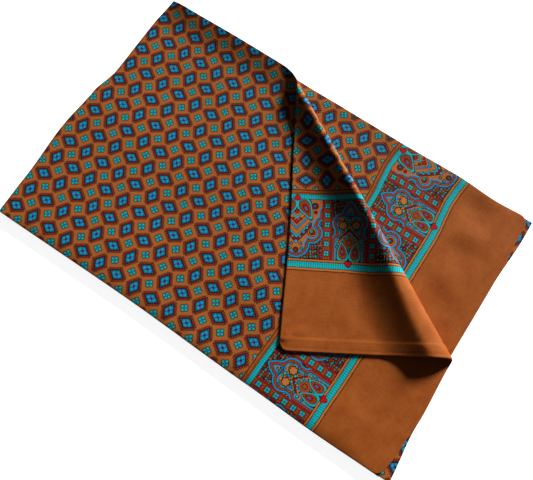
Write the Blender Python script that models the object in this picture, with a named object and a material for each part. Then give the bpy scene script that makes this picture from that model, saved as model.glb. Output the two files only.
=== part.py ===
"""Oblong printed neckerchief, folded crosswise in four plies and lying flat,
with one corner of its top ply turned back over itself.

Metres, +Z up. +X runs along the cloth, from the folds at -X to the ends at +X,
and +Y runs across it. The origin is on the surface that it lies on, at the
middle of its outline. The cloth is a flattened tube, so each ply is one wall.
"""

import math
from collections import namedtuple

import bmesh
import bpy

# Plies
HALF_LENGTH = 0.204
HALF_WIDTH = 0.1295
WALL = 0.0012  # one ply: both cloths of the tube, pressed together
GAP = 0.0003
HIDDEN_HEIGHT = 0.0033  # third and fourth ply
CELL = 0.012  # spacing of the sections through a ply
EDGE_ROLL = 0.009  # width over which the long edges turn down
CLOSE_STEPS = 3  # sections over that width
EDGE_DROP = 0.0008
FADE = 0.03  # the dimples die away this far before the folds and the ends
SNAP = 0.0001  # a section this near a point goes through it
WELD = 0.0002  # points nearer than this become one
SHARP_ANGLE = math.radians(40)

# Looks
ROUGHNESS = 0.5
COLOURS = {
    "hidden_layers": (0.34, 0.13, 0.05),
    "second_ply": (0.42, 0.17, 0.05),
    "top_ply": (0.40, 0.15, 0.05),
    "turned_corner": (0.45, 0.18, 0.05),
}

# Fold lines
FOLD_START = (-0.0570, 0.1262)  # where the turned corner leaves the long edge
FOLD_ANGLE = math.radians(-29.6)
FOLD_LENGTH = 0.300
ROLL_STEPS = 8  # faces round the left fold
CREST_GAP = 2 * GAP  # between the top ply and its turned corner, which part at the crest

# Edges: where each one runs, along the other axis
Edge = namedtuple("Edge", "at reach")
LEFT_FOLD = [
    Edge(at=-0.130, reach=-0.2000),
    Edge(at=-0.090, reach=-0.2008),
    Edge(at=-0.030, reach=-0.2040),
    Edge(at=0.010, reach=-0.2016),
    Edge(at=0.040, reach=-0.1966),
    Edge(at=0.100, reach=-0.1972),
    Edge(at=0.130, reach=-0.1948),
]
MIDDLE_FOLD = [
    Edge(at=-0.130, reach=0.2040),
    Edge(at=-0.080, reach=0.2000),
    Edge(at=-0.010, reach=0.1950),
    Edge(at=0.060, reach=0.1950),
    Edge(at=0.110, reach=0.1972),
    Edge(at=0.130, reach=0.1968),
]
SECOND_END = [
    Edge(at=-0.130, reach=0.1940),
    Edge(at=0.040, reach=0.1940),
    Edge(at=0.080, reach=0.1938),
    Edge(at=0.105, reach=0.1922),
    Edge(at=0.130, reach=0.1926),
]
TOP_END = [
    Edge(at=-0.130, reach=0.1945),
    Edge(at=-0.100, reach=0.1975),
    Edge(at=-0.020, reach=0.1968),
    Edge(at=0.130, reach=0.1985),
]
BACK_EDGE = [
    Edge(at=-0.210, reach=0.1275),
    Edge(at=-0.100, reach=0.1285),
    Edge(at=-0.040, reach=0.1262),
    Edge(at=0.060, reach=0.1265),
    Edge(at=0.130, reach=0.1280),
    Edge(at=0.168, reach=0.1262),
    Edge(at=0.205, reach=0.1280),
]
TOP_BACK_EDGE = [
    Edge(at=-0.210, reach=0.1275),
    Edge(at=-0.120, reach=0.1290),
    Edge(at=-0.080, reach=0.1290),
    Edge(at=-0.050, reach=0.1265),
    Edge(at=0.060, reach=0.1275),
    Edge(at=0.205, reach=0.1305),
]
FRONT_EDGE = [
    Edge(at=-0.210, reach=-0.1275),
    Edge(at=-0.060, reach=-0.1262),
    Edge(at=0.070, reach=-0.1280),
    Edge(at=0.140, reach=-0.1290),
    Edge(at=0.205, reach=-0.1282),
]

# Round corners of the plies
Corner = namedtuple("Corner", "x_side y_side radius")
MIDDLE_CORNERS = [
    Corner(x_side=1, y_side=1, radius=0.007),
    Corner(x_side=1, y_side=-1, radius=0.003),
]
SECOND_CORNERS = [Corner(x_side=1, y_side=1, radius=0.009)]
TOP_CORNERS = [
    Corner(x_side=1, y_side=1, radius=0.005),
    Corner(x_side=1, y_side=-1, radius=0.007),
]

# Soft hollows in the pile of plies
Dimple = namedtuple("Dimple", "x y spread depth")
DIMPLES = [
    Dimple(x=-0.120, y=0.060, spread=0.034, depth=0.0006),
    Dimple(x=-0.075, y=-0.050, spread=0.030, depth=0.0006),
    Dimple(x=0.015, y=-0.090, spread=0.028, depth=0.0007),
    Dimple(x=0.118, y=-0.082, spread=0.026, depth=0.0008),
    Dimple(x=0.128, y=0.080, spread=0.028, depth=0.0009),
    Dimple(x=0.158, y=0.020, spread=0.026, depth=0.0008),
]

# The back edge of the top ply, which stands up a little beside the left fold
LIFT = 0.0038
LIFT_WIDTH = 0.030
LIFT_START = -0.206
LIFT_FULL_FROM = -0.180
LIFT_FULL_TO = -0.070
LIFT_END = -0.040

# Turned corner, at each end of its fold: the radius of the round lower half, the reach of the
# flatter upper half, and the width over which it settles
ROLL_RADIUS_START = 0.0034
ROLL_RADIUS_END = 0.0056
CAP_START = 0.0100
CAP_END = 0.0125
SETTLE_START = 0.030
SETTLE_END = 0.044
SETTLE_EASE = 0.7  # less than 1 where it falls steeply first
HALF_ROLL_LINES = 4
CAP_LINES = 5
CAP_STEPS = 12  # small steps to work out a turn of the cap
SETTLE_LINES = 6

# Side of the two lowest plies, from the top down, with the groove between them
SideRow = namedtuple("SideRow", "height_share inset")
SIDE = [
    SideRow(height_share=1.00, inset=0.0009),
    SideRow(height_share=0.91, inset=0.0003),
    SideRow(height_share=0.78, inset=0.0000),
    SideRow(height_share=0.61, inset=0.0003),
    SideRow(height_share=0.50, inset=0.0012),
    SideRow(height_share=0.39, inset=0.0003),
    SideRow(height_share=0.22, inset=0.0000),
    SideRow(height_share=0.09, inset=0.0003),
    SideRow(height_share=0.00, inset=0.0009),
]

SECOND_LEVEL = HIDDEN_HEIGHT + GAP + WALL / 2  # middle of the wall
TOP_LEVEL = SECOND_LEVEL + GAP + WALL
ROLL = (TOP_LEVEL - WALL / 2) / 2  # middle radius of the left fold, which reaches the surface
SETTLED = WALL + GAP  # turned corner above the top ply, where it lies on it


def smooth(share):
    """0 up to 1, level at both ends."""
    share = min(1.0, max(0.0, share))
    return share * share * (3 - 2 * share)


def reach(edge, at):
    """Where an edge runs, eased from row to row."""
    if at <= edge[0].at:
        return edge[0].reach
    for low, high in zip(edge, edge[1:]):
        if at <= high.at:
            share = smooth((at - low.at) / (high.at - low.at))
            return low.reach + share * (high.reach - low.reach)
    return edge[-1].reach


def relief(x, y):
    """Height of a point of the pile against its level: dimples and turned-down long edges."""
    ends = smooth((x - reach(LEFT_FOLD, y)) / FADE) * smooth((reach(SECOND_END, y) - x) / FADE)
    dip = 0.0
    for dimple in DIMPLES:
        far = math.hypot(x - dimple.x, y - dimple.y) / dimple.spread
        dip += dimple.depth * math.exp(-far * far)
    rim = min(reach(BACK_EDGE, x) - y, y - reach(FRONT_EDGE, x))
    turned = min(1.0, max(0.0, 1 - rim / EDGE_ROLL))
    return -ends * (dip + EDGE_DROP * turned * turned)


def top_relief(x, y):
    """The same for the top ply, whose back edge stands up."""
    inward = min(1.0, max(0.0, (reach(TOP_BACK_EDGE, x) - y) / LIFT_WIDTH))
    ends = smooth((x - LIFT_START) / (LIFT_FULL_FROM - LIFT_START))
    ends *= smooth((LIFT_END - x) / (LIFT_END - LIFT_FULL_TO))
    return relief(x, y) + LIFT * ends * (1 - inward) ** 2


def fold_frame(x, y):
    """A flat point as the distance along the fold line and the distance beyond it."""
    along_x, along_y = math.cos(FOLD_ANGLE), math.sin(FOLD_ANGLE)
    dx, dy = x - FOLD_START[0], y - FOLD_START[1]
    return dx * along_x + dy * along_y, -dx * along_y + dy * along_x


def from_fold_frame(along, beyond):
    along_x, along_y = math.cos(FOLD_ANGLE), math.sin(FOLD_ANGLE)
    return (
        FOLD_START[0] + along * along_x - beyond * along_y,
        FOLD_START[1] + along * along_y + beyond * along_x,
    )


def tapered(start, end, along):
    return start + (end - start) * along / FOLD_LENGTH


def section_sizes(along):
    """Radius, cap and settling width of the turned corner at a distance along its fold."""
    return (
        tapered(ROLL_RADIUS_START, ROLL_RADIUS_END, along),
        tapered(CAP_START, CAP_END, along),
        tapered(SETTLE_START, SETTLE_END, along),
    )


def cap_length(cap, radius):
    """A quarter of an ellipse's outline."""
    return math.pi / 4 * (3 * (cap + radius) - math.sqrt((3 * cap + radius) * (cap + 3 * radius)))


def cap_turn(cap, radius, length):
    """How far round the cap, in radians, a point at this length along it is."""
    turn = 0.0
    step = length / CAP_STEPS
    for _ in range(CAP_STEPS):
        middle = turn + step / 2 / math.hypot(cap * math.sin(turn), radius * math.cos(turn))
        turn += step / math.hypot(cap * math.sin(middle), radius * math.cos(middle))
    return min(turn, math.pi / 2)


def turned_line(rolled, capped, settled, along):
    """Flat distance beyond the fold line of a section, from its shares of the three stretches."""
    radius, cap, settle = section_sizes(along)
    return radius * (rolled * math.pi / 2 - 1) + capped * cap_length(cap, radius) + settled * settle


def turned_section(along, beyond):
    """Where a point beyond the fold's start lies: distance beyond the fold line, and lift."""
    radius, cap, settle = section_sizes(along)
    turn = (beyond + radius) / radius
    if turn <= math.pi / 2:
        return radius * (math.sin(turn) - 1), radius * (1 - math.cos(turn))
    past = beyond - turned_line(1, 0, 0, along)
    if past < cap_length(cap, radius):
        turn = cap_turn(cap, radius, past)
        return cap * (math.cos(turn) - 1), radius * (1 + math.sin(turn))
    past -= cap_length(cap, radius)
    high = 1 - smooth(min(1.0, past / settle) ** SETTLE_EASE)
    return -cap - past, SETTLED + (2 * radius - SETTLED) * high


def fold_top(x, y):
    """A flat point of the top cloth, where it lies once both folds are made."""
    centre = reach(LEFT_FOLD, y) + WALL / 2 + ROLL
    if x < centre:
        turn = (centre - x) / ROLL
        raised = top_relief(centre, y) * (1 - turn / math.pi)
        return centre - ROLL * math.sin(turn), y, TOP_LEVEL - ROLL * (1 - math.cos(turn)) + raised
    along, beyond = fold_frame(x, y)
    if beyond <= turned_line(0, 0, 0, along):
        return x, y, TOP_LEVEL + top_relief(x, y)
    beyond, lift = turned_section(along, beyond)
    placed = from_fold_frame(along, beyond)
    return placed[0], placed[1], TOP_LEVEL + top_relief(*placed) + lift


def rounded(x, y, box, corners):
    """A point of a rectangle, moved so that the given corners become quarter rounds."""
    for corner in corners:
        edge_x = box[1] if corner.x_side > 0 else box[0]
        edge_y = box[3] if corner.y_side > 0 else box[2]
        u = 1 - corner.x_side * (edge_x - x) / corner.radius
        v = 1 - corner.y_side * (edge_y - y) / corner.radius
        if u > 0 and v > 0:
            x = edge_x - corner.x_side * corner.radius * (1 - u * math.sqrt(1 - v * v / 2))
            y = edge_y - corner.y_side * corner.radius * (1 - v * math.sqrt(1 - u * u / 2))
    return x, y


def sections(half, close_low, close_high):
    """Places from -half to half a cell apart, with four closer ones over these widths at the edges."""
    low = [-half + close_low * step / CLOSE_STEPS for step in range(CLOSE_STEPS + 1)]
    high = [half - close_high * step / CLOSE_STEPS for step in range(CLOSE_STEPS + 1)]
    start, end = low[-1], high[-1]
    count = round((end - start) / CELL)
    between = [start + (end - start) * step / count for step in range(1, count)]
    return low + between + high[::-1]


def flat_sheet(left, right, back, front, corners, roll_sections=()):
    """A flat sheet of quads between four edges. Roll sections are extra columns past the left one."""
    mesh = bmesh.new()
    columns = sections(HALF_LENGTH, CELL, EDGE_ROLL)
    rows = sections(HALF_WIDTH, EDGE_ROLL, EDGE_ROLL)
    box = (-HALF_LENGTH, HALF_LENGTH, -HALF_WIDTH, HALF_WIDTH)
    extra = len(roll_sections)
    grid = {}
    for j, row in enumerate(rows):
        for i, column in enumerate(columns):
            u, v = rounded(column, row, box, corners)
            share_x = (u + HALF_LENGTH) / (2 * HALF_LENGTH)
            share_y = (v + HALF_WIDTH) / (2 * HALF_WIDTH)
            y = reach(front, u) + share_y * (reach(back, u) - reach(front, u))
            x = left(y) + share_x * (reach(right, y) - left(y))
            grid[i + extra, j] = mesh.verts.new((x, y, 0))
        edge = grid[extra, j].co
        for i, section in enumerate(roll_sections):
            grid[i, j] = mesh.verts.new((edge.x - section, edge.y, 0))
    for j in range(len(rows) - 1):
        for i in range(len(columns) + extra - 1):
            mesh.faces.new((grid[i, j], grid[i + 1, j], grid[i + 1, j + 1], grid[i, j + 1]))
    return mesh


def score(mesh, rolled, capped=0, settled=0):
    """Cuts the flat sheet along one section of the turned corner."""
    start = from_fold_frame(0, turned_line(rolled, capped, settled, 0))
    end = from_fold_frame(FOLD_LENGTH, turned_line(rolled, capped, settled, FOLD_LENGTH))
    across = (start[1] - end[1], end[0] - start[0], 0)
    whole = mesh.verts[:] + mesh.edges[:] + mesh.faces[:]
    bmesh.ops.bisect_plane(
        mesh, geom=whole, dist=SNAP, plane_co=(*start, 0), plane_no=across
    )


def beyond_crest(vert):
    """Flat distance of a point past the crest of the turned corner."""
    along, beyond = fold_frame(vert.x, vert.y)
    return beyond - turned_line(1, 0, 0, along)


def add_material(obj):
    material = bpy.data.materials.new(obj.name)
    material.use_nodes = True
    shader = material.node_tree.nodes["Principled BSDF"]
    shader.inputs["Base Color"].default_value = (*COLOURS[obj.name], 1)
    shader.inputs["Roughness"].default_value = ROUGHNESS
    shader.inputs["Metallic"].default_value = 0.0
    obj.data.materials.append(material)


def add_object(name, mesh):
    data = bpy.data.meshes.new(name)
    mesh.to_mesh(data)
    mesh.free()
    obj = bpy.data.objects.new(name, data)
    bpy.context.collection.objects.link(obj)
    data.shade_smooth()
    data.set_sharp_from_angle(angle=SHARP_ANGLE)
    add_material(obj)
    return obj


def add_wall(name, mesh):
    """A sheet through the middle of the cloth, given the thickness of one ply."""
    obj = add_object(name, mesh)
    wall = obj.modifiers.new("Cloth", "SOLIDIFY")
    wall.thickness = WALL
    wall.offset = 0
    wall.use_even_offset = True
    return obj


def second_left(y):
    """The second ply stops inside the roll of the left fold."""
    return reach(LEFT_FOLD, y) + WALL / 2 + ROLL + GAP


def top_left(y):
    return reach(LEFT_FOLD, y) + WALL / 2 + ROLL


def make_second_ply():
    mesh = flat_sheet(second_left, SECOND_END, BACK_EDGE, FRONT_EDGE, SECOND_CORNERS)
    for vert in mesh.verts:
        vert.co.z = SECOND_LEVEL + relief(vert.co.x, vert.co.y)
    add_wall("second_ply", mesh)


def make_top_cloth():
    """The top ply with its roll at the left, and its turned corner, parted at the crest of the fold."""
    rolled = [math.pi * ROLL * (ROLL_STEPS - step) / ROLL_STEPS for step in range(ROLL_STEPS)]
    mesh = flat_sheet(top_left, TOP_END, TOP_BACK_EDGE, FRONT_EDGE, TOP_CORNERS, rolled)
    for line in range(HALF_ROLL_LINES + 1):
        score(mesh, line / HALF_ROLL_LINES)
    for line in range(1, CAP_LINES + 1):
        score(mesh, 1, line / CAP_LINES)
    for line in range(1, SETTLE_LINES + 1):
        score(mesh, 1, 1, line / SETTLE_LINES)
    corner = mesh.copy()
    for name, part, side in (("top_ply", mesh, -1), ("turned_corner", corner, 1)):
        other = [face for face in part.faces if side * beyond_crest(face.calc_center_median()) < 0]
        bmesh.ops.delete(part, geom=other, context="FACES")
        for vert in part.verts:
            past = beyond_crest(vert.co)
            if abs(past) < CREST_GAP / 2:
                vert.co.x += (side * CREST_GAP / 2 - past) * -math.sin(FOLD_ANGLE)
                vert.co.y += (side * CREST_GAP / 2 - past) * math.cos(FOLD_ANGLE)
            vert.co = fold_top(vert.co.x, vert.co.y)
        bmesh.ops.remove_doubles(part, verts=part.verts[:], dist=WELD)
        add_wall(name, part)


def fold_inset(height_share, height):
    """Inset of a half-round side at this share of its height."""
    off_middle = 2 * height_share - 1
    return height / 2 * (1 - math.sqrt(max(0.0, 1 - off_middle * off_middle)))


def moved(edge, by):
    return [Edge(row.at, row.reach + by) for row in edge]


def rim_loop(mesh):
    """The points round the open edge of a sheet, anticlockwise from above."""
    rim = [edge for edge in mesh.edges if edge.is_boundary]
    loop = list(rim[0].verts)
    while len(loop) < len(rim):
        near = [edge.other_vert(loop[-1]) for edge in loop[-1].link_edges if edge.is_boundary]
        loop.append(near[0] if near[0] is not loop[-2] else near[1])
    area = sum(a.co.x * b.co.y - b.co.x * a.co.y for a, b in zip(loop, loop[1:] + loop[:1]))
    return loop if area > 0 else loop[::-1]


def make_hidden_layers():
    """The third and fourth ply in one: grooved sides, and half round at the scarf's middle fold."""
    top = SIDE[0].inset
    mesh = flat_sheet(
        lambda y: second_left(y) + top,
        moved(MIDDLE_FOLD, -fold_inset(1, HIDDEN_HEIGHT)),
        moved(BACK_EDGE, -top),
        moved(FRONT_EDGE, top),
        MIDDLE_CORNERS,
    )
    for vert in mesh.verts:
        vert.co.z = HIDDEN_HEIGHT + relief(vert.co.x, vert.co.y)
    loop = rim_loop(mesh)
    ring = loop
    for row in SIDE[1:]:
        lower = []
        for i, vert in enumerate(loop):
            ahead, behind = loop[(i + 1) % len(loop)].co, loop[i - 1].co
            outward = (ahead - behind).cross((0, 0, 1)).normalized()
            at_fold = smooth(outward.x * 2 - 0.5)  # 1 where the side faces +X
            grooved = top - row.inset
            half_round = fold_inset(1, vert.co.z) - fold_inset(row.height_share, vert.co.z)
            place = vert.co + outward * (grooved + at_fold * (half_round - grooved))
            lower.append(mesh.verts.new((place.x, place.y, vert.co.z * row.height_share)))
        for i in range(len(loop)):
            after = (i + 1) % len(loop)
            mesh.faces.new((ring[i], lower[i], lower[after], ring[after]))
        ring = lower
    mesh.faces.new(ring[::-1])
    add_object("hidden_layers", mesh)


for old in list(bpy.data.objects):
    bpy.data.objects.remove(old, do_unlink=True)
make_hidden_layers()
make_second_ply()
make_top_cloth()
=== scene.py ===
import math

import bmesh
import bpy
from mathutils import Matrix, Vector


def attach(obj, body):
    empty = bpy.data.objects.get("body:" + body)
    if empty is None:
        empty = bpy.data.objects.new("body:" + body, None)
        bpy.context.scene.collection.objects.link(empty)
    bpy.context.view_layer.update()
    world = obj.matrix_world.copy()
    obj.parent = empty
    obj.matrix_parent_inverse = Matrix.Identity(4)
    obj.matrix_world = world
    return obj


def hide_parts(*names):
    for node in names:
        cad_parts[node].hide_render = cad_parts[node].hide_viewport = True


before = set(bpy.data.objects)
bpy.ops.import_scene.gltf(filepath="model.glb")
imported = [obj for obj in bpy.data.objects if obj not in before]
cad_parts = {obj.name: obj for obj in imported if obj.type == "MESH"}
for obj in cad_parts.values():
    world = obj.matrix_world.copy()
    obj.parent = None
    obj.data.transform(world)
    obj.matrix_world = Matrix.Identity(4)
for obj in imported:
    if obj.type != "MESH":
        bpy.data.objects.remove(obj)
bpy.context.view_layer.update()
bpy.ops.object.select_all(action="DESELECT")
print("frame loaded")

# Sizes of the folded pile, as the solids have them. Metres.
pile = {
    "halfLength": 0.204,
    "halfWidth": 0.1295,
    "ply": 0.0012,  # both cloths of the tube, pressed together
    "gap": 0.0003,
    "hiddenHeight": 0.0033,
    "edgeRoll": 0.009,  # width over which the long edges turn down
    "edgeDrop": 0.0008,
    "fade": 0.03,
    "cloth": 0.0004,  # one cloth of the tube
    "repeat": 0.0185,  # one diamond of the print
}
# Edges: (place along the other axis, where the edge runs)
leftFold = [(-0.130, -0.2000), (-0.090, -0.2008), (-0.030, -0.2040), (0.010, -0.2016),
            (0.040, -0.1966), (0.100, -0.1972), (0.130, -0.1948)]
middleFold = [(-0.130, 0.2040), (-0.080, 0.2000), (-0.010, 0.1950), (0.060, 0.1950),
              (0.110, 0.1972), (0.130, 0.1968)]
secondEnd = [(-0.130, 0.1944), (0.040, 0.1946), (0.080, 0.1944), (0.105, 0.1926), (0.130, 0.1926)]
topEnd = [(-0.130, 0.1945), (-0.100, 0.1974), (-0.072, 0.1992), (-0.020, 0.1972), (0.130, 0.1985)]
backEdge = [(-0.210, 0.1275), (-0.100, 0.1285), (-0.040, 0.1262), (0.060, 0.1265),
            (0.130, 0.1280), (0.168, 0.1262), (0.205, 0.1280)]
topBackEdge = [(-0.210, 0.1275), (-0.120, 0.1290), (-0.080, 0.1290), (-0.050, 0.1265),
               (0.060, 0.1275), (0.205, 0.1305)]
frontEdge = [(-0.210, -0.1275), (-0.060, -0.1262), (0.070, -0.1280), (0.140, -0.1290),
             (0.205, -0.1282)]
# Soft hollows and swells of the pile: (x, y, spread, height)
swells = [(-0.120, 0.060, 0.034, -0.0006), (-0.075, -0.050, 0.030, -0.0006),
          (0.015, -0.090, 0.028, -0.0007), (0.118, -0.082, 0.026, -0.0008),
          (0.128, 0.080, 0.028, -0.0006), (0.158, 0.020, 0.022, -0.0009),
          (0.160, 0.084, 0.012, 0.0012), (0.157, 0.068, 0.013, -0.0008),
          (0.148, 0.107, 0.014, -0.0012), (0.157, 0.044, 0.013, 0.0007),
          (0.176, -0.060, 0.018, 0.0007), (0.150, -0.105, 0.016, 0.0006),
          (0.180, 0.030, 0.012, 0.0005), (-0.160, 0.000, 0.026, 0.0005),
          (-0.030, 0.020, 0.030, 0.0005), (0.040, -0.060, 0.024, 0.0006)]
# The back edge of a ply, which stands up a little: how much, how far in and between which places
topLift = {
    "rise": 0.0052,
    "width": 0.032,
    "from": -0.206,
    "full": -0.180,
    "fade": -0.066,
    "to": -0.038,
}
secondLift = {
    "rise": 0.0012,
    "width": 0.014,
    "from": -0.060,
    "full": 0.000,
    "fade": 0.150,
    "to": 0.190,
}
# Creases of the top cloth: both ends (x, y), half width, height
creases = [((0.0705, -0.0826), (0.0735, -0.0729), 0.0030, 0.0012),
           ((0.0735, -0.0729), (0.0810, -0.0630), 0.0030, 0.0009)]
creaseFade = 0.8  # how much lower they are at their ends
# The turned corner: where its fold runs, how round it is and how it settles. Its fold is rounder than
# the solid's, so that its far side falls steeply into the shade.
turnedCorner = {
    "start": (-0.0570, 0.1262),
    "angle": math.radians(-29.6),
    "length": 0.300,
    "rollStart": 0.0047,  # radius of the lower half of the fold
    "rollEnd": 0.0056,
    "capStart": 0.0036,  # reach of its flatter upper half
    "capEnd": 0.0150,
    "settleStart": 0.024,  # how far it takes to come down
    "settleEnd": 0.038,
    "ease": 0.66,  # less than 1 where it falls steeply first
    "bulge": 0.0009,  # how much rounder it is around its middle
    "widenFrom": 0.45,  # where the cap starts to widen and over how much, in shares of the length
    "widenOver": 0.45,
}

halfPly = pile["ply"] / 2
secondLevel = pile["hiddenHeight"] + pile["gap"] + halfPly
topLevel = secondLevel + pile["gap"] + pile["ply"]
roll = (topLevel - halfPly) / 2
settled = pile["ply"] + pile["gap"]


def clamped(share):
    return min(1.0, max(0.0, share))


def smooth(share):
    share = clamped(share)
    return share * share * (3 - 2 * share)


def reach(edge, at):
    if at <= edge[0][0]:
        return edge[0][1]
    for (low, start), (high, end) in zip(edge, edge[1:]):
        if at <= high:
            return start + smooth((at - low) / (high - low)) * (end - start)
    return edge[-1][1]


def lifted(edge, lift, x, y):
    inward = clamped((edge - y) / lift["width"])
    ends = smooth((x - lift["from"]) / (lift["full"] - lift["from"]))
    ends *= smooth((lift["to"] - x) / (lift["to"] - lift["fade"]))
    return lift["rise"] * ends * (1 - inward) ** 2


def relief(x, y):
    ends = smooth((x - reach(leftFold, y)) / pile["fade"])
    ends *= smooth((reach(secondEnd, y) - x) / pile["fade"])
    height = 0.0
    for swellX, swellY, spread, rise in swells:
        far = math.hypot(x - swellX, y - swellY) / spread
        height += rise * math.exp(-far * far)
    rim = min(reach(backEdge, x) - y, y - reach(frontEdge, x))
    turned = clamped(1 - rim / pile["edgeRoll"])
    height = ends * (height - pile["edgeDrop"] * turned * turned)
    return height + lifted(reach(backEdge, x), secondLift, x, y)


def creased(x, y):
    height = 0.0
    spot = Vector((x, y))
    for start, end, width, rise in creases:
        line = Vector(end) - Vector(start)
        share = clamped((spot - Vector(start)).dot(line) / line.length_squared)
        far = (spot - Vector(start) - line * share).length / width
        height += rise * math.exp(-far * far) * (1 - abs(2 * share - 1) ** 3 * creaseFade)
    return height


def topRelief(x, y):
    return relief(x, y) + creased(x, y) + lifted(reach(topBackEdge, x), topLift, x, y)


alongX, alongY = math.cos(turnedCorner["angle"]), math.sin(turnedCorner["angle"])


def foldFrame(x, y):
    dx, dy = x - turnedCorner["start"][0], y - turnedCorner["start"][1]
    return dx * alongX + dy * alongY, dy * alongX - dx * alongY


def fromFoldFrame(along, beyond):
    x, y = turnedCorner["start"]
    return x + along * alongX - beyond * alongY, y + along * alongY + beyond * alongX


def tapered(part, along):
    share = along / turnedCorner["length"]
    rounder = 0.0
    if part == "cap":
        share = smooth((share - turnedCorner["widenFrom"]) / turnedCorner["widenOver"])
    if part == "roll":
        rounder = turnedCorner["bulge"] * smooth(share * 2) * smooth(2 - share * 2)
    start, end = turnedCorner[part + "Start"], turnedCorner[part + "End"]
    return rounder + start + (end - start) * share


def capLength(cap, radius):
    # a quarter of an ellipse's outline
    return math.pi / 4 * (3 * (cap + radius) - math.sqrt((3 * cap + radius) * (cap + 3 * radius)))


def capTurn(cap, radius, length):
    # how far the outline has turned after that length
    steps = 12
    step = length / steps
    turn = 0.0
    for stride in range(steps):
        middle = turn + step / 2 / math.hypot(cap * math.sin(turn), radius * math.cos(turn))
        turn += step / math.hypot(cap * math.sin(middle), radius * math.cos(middle))
    return min(turn, math.pi / 2)


def turnedLine(rolled, capped, settling, along):
    # How far beyond the fold line a section lies while flat, from its shares of the three stretches
    radius, cap = tapered("roll", along), tapered("cap", along)
    flat = radius * (rolled * math.pi / 2 - 1)
    return flat + capped * capLength(cap, radius) + settling * tapered("settle", along)


def turnedSection(along, beyond):
    # Where the turned corner lies: how far beyond the fold line, and how high
    radius, cap, settle = (tapered(part, along) for part in ("roll", "cap", "settle"))
    turn = (beyond + radius) / radius
    if turn <= math.pi / 2:
        return radius * (math.sin(turn) - 1), radius * (1 - math.cos(turn))
    past = beyond - turnedLine(1, 0, 0, along)
    if past < capLength(cap, radius):
        turn = capTurn(cap, radius, past)
        return cap * (math.cos(turn) - 1), radius * (1 + math.sin(turn))
    past -= capLength(cap, radius)
    high = 1 - smooth(min(1.0, past / settle) ** turnedCorner["ease"])
    return -cap - past, settled + (2 * radius - settled) * high


def layTop(x, y):
    centre = reach(leftFold, y) + halfPly + roll
    if x < centre:
        turn = (centre - x) / roll
        raised = topRelief(centre, y) * (1 - turn / math.pi)
        height = topLevel - roll * (1 - math.cos(turn)) + raised
        return Vector((centre - roll * math.sin(turn), y, height))
    along, beyond = foldFrame(x, y)
    if beyond <= -tapered("roll", along):
        return Vector((x, y, topLevel + topRelief(x, y)))
    beyond, lift = turnedSection(along, beyond)
    placed = fromFoldFrame(along, beyond)
    return Vector((*placed, topLevel + topRelief(*placed) + lift))


# The other plies: the second one, a small fold at the left, the third, the middle fold, the fourth
lowerPlies = {
    "thirdLevel": 0.0027,
    "fourthLevel": 0.0006,
    "thirdRelief": 0.75,  # share of the swells that it still has
    "cutEnd": 0.0003,  # between its end and the top cloth's, under the left fold
}
innerRoll = (secondLevel - lowerPlies["thirdLevel"]) / 2
middleRoll = (lowerPlies["thirdLevel"] - lowerPlies["fourthLevel"]) / 2


def innerCentre(y):
    return reach(leftFold, y) + halfPly + roll + pile["gap"] + innerRoll


def middleCentre(y):
    return reach(middleFold, y) - middleRoll - halfPly


def lastCut(y):
    return reach(leftFold, y) + halfPly + roll + lowerPlies["cutEnd"]


def layLower(x, y):
    left, right = innerCentre(y), middleCentre(y)
    if x >= left:
        return Vector((x, y, secondLevel + relief(x, y)))
    past = left - x
    if past < math.pi * innerRoll:
        turn = past / innerRoll
        drop = innerRoll * (1 - math.cos(turn))
        share = 1 - (1 - lowerPlies["thirdRelief"]) * turn / math.pi
        height = secondLevel - drop + share * relief(left, y)
        return Vector((left - innerRoll * math.sin(turn), y, height))
    past -= math.pi * innerRoll
    if past < right - left:
        level = lowerPlies["thirdLevel"] + lowerPlies["thirdRelief"] * relief(left + past, y)
        return Vector((left + past, y, level))
    past -= right - left
    if past < math.pi * middleRoll:
        turn = past / middleRoll
        drop = middleRoll * (1 - math.cos(turn))
        return Vector((right + middleRoll * math.sin(turn), y, lowerPlies["thirdLevel"] - drop))
    past -= math.pi * middleRoll
    return Vector((right - past, y, lowerPlies["fourthLevel"]))


def rounded(x, y, corners):
    for sideX, sideY, radius in corners:
        edgeX, edgeY = sideX * pile["halfLength"], sideY * pile["halfWidth"]
        u = 1 - sideX * (edgeX - x) / radius
        v = 1 - sideY * (edgeY - y) / radius
        if u > 0 and v > 0:
            x = edgeX - sideX * radius * (1 - u * math.sqrt(1 - v * v / 2))
            y = edgeY - sideY * radius * (1 - v * math.sqrt(1 - u * u / 2))
    return x, y


# Distances of the sections from a long edge and from a sewn end
edgeSteps = [0.0, 0.0008, 0.002, 0.004, 0.0065, 0.009]
endSteps = [0.0, 0.0005, 0.0011, 0.0018, 0.0025, 0.0031, 0.0038, 0.0048, 0.0062, 0.0074, 0.0084,
            0.0094, 0.0103, 0.0112, 0.0121, 0.0135]


def spaced(start, end, cell):
    count = max(1, round((end - start) / cell))
    return [start + (end - start) * step / count for step in range(count)]


def spreadRows(cell):
    half = pile["halfWidth"]
    low = [-half + step for step in edgeSteps]
    return low[:-1] + spaced(low[-1], -low[-1], cell) + [-row for row in low[::-1]]


def spreadColumns(cell):
    half = pile["halfLength"]
    return spaced(-half, half - endSteps[-1], cell) + [half - step for step in endSteps[::-1]]


rimTurns = [math.radians(35), math.radians(90), math.radians(145)]  # the cuts of the tube's round rim


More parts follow.
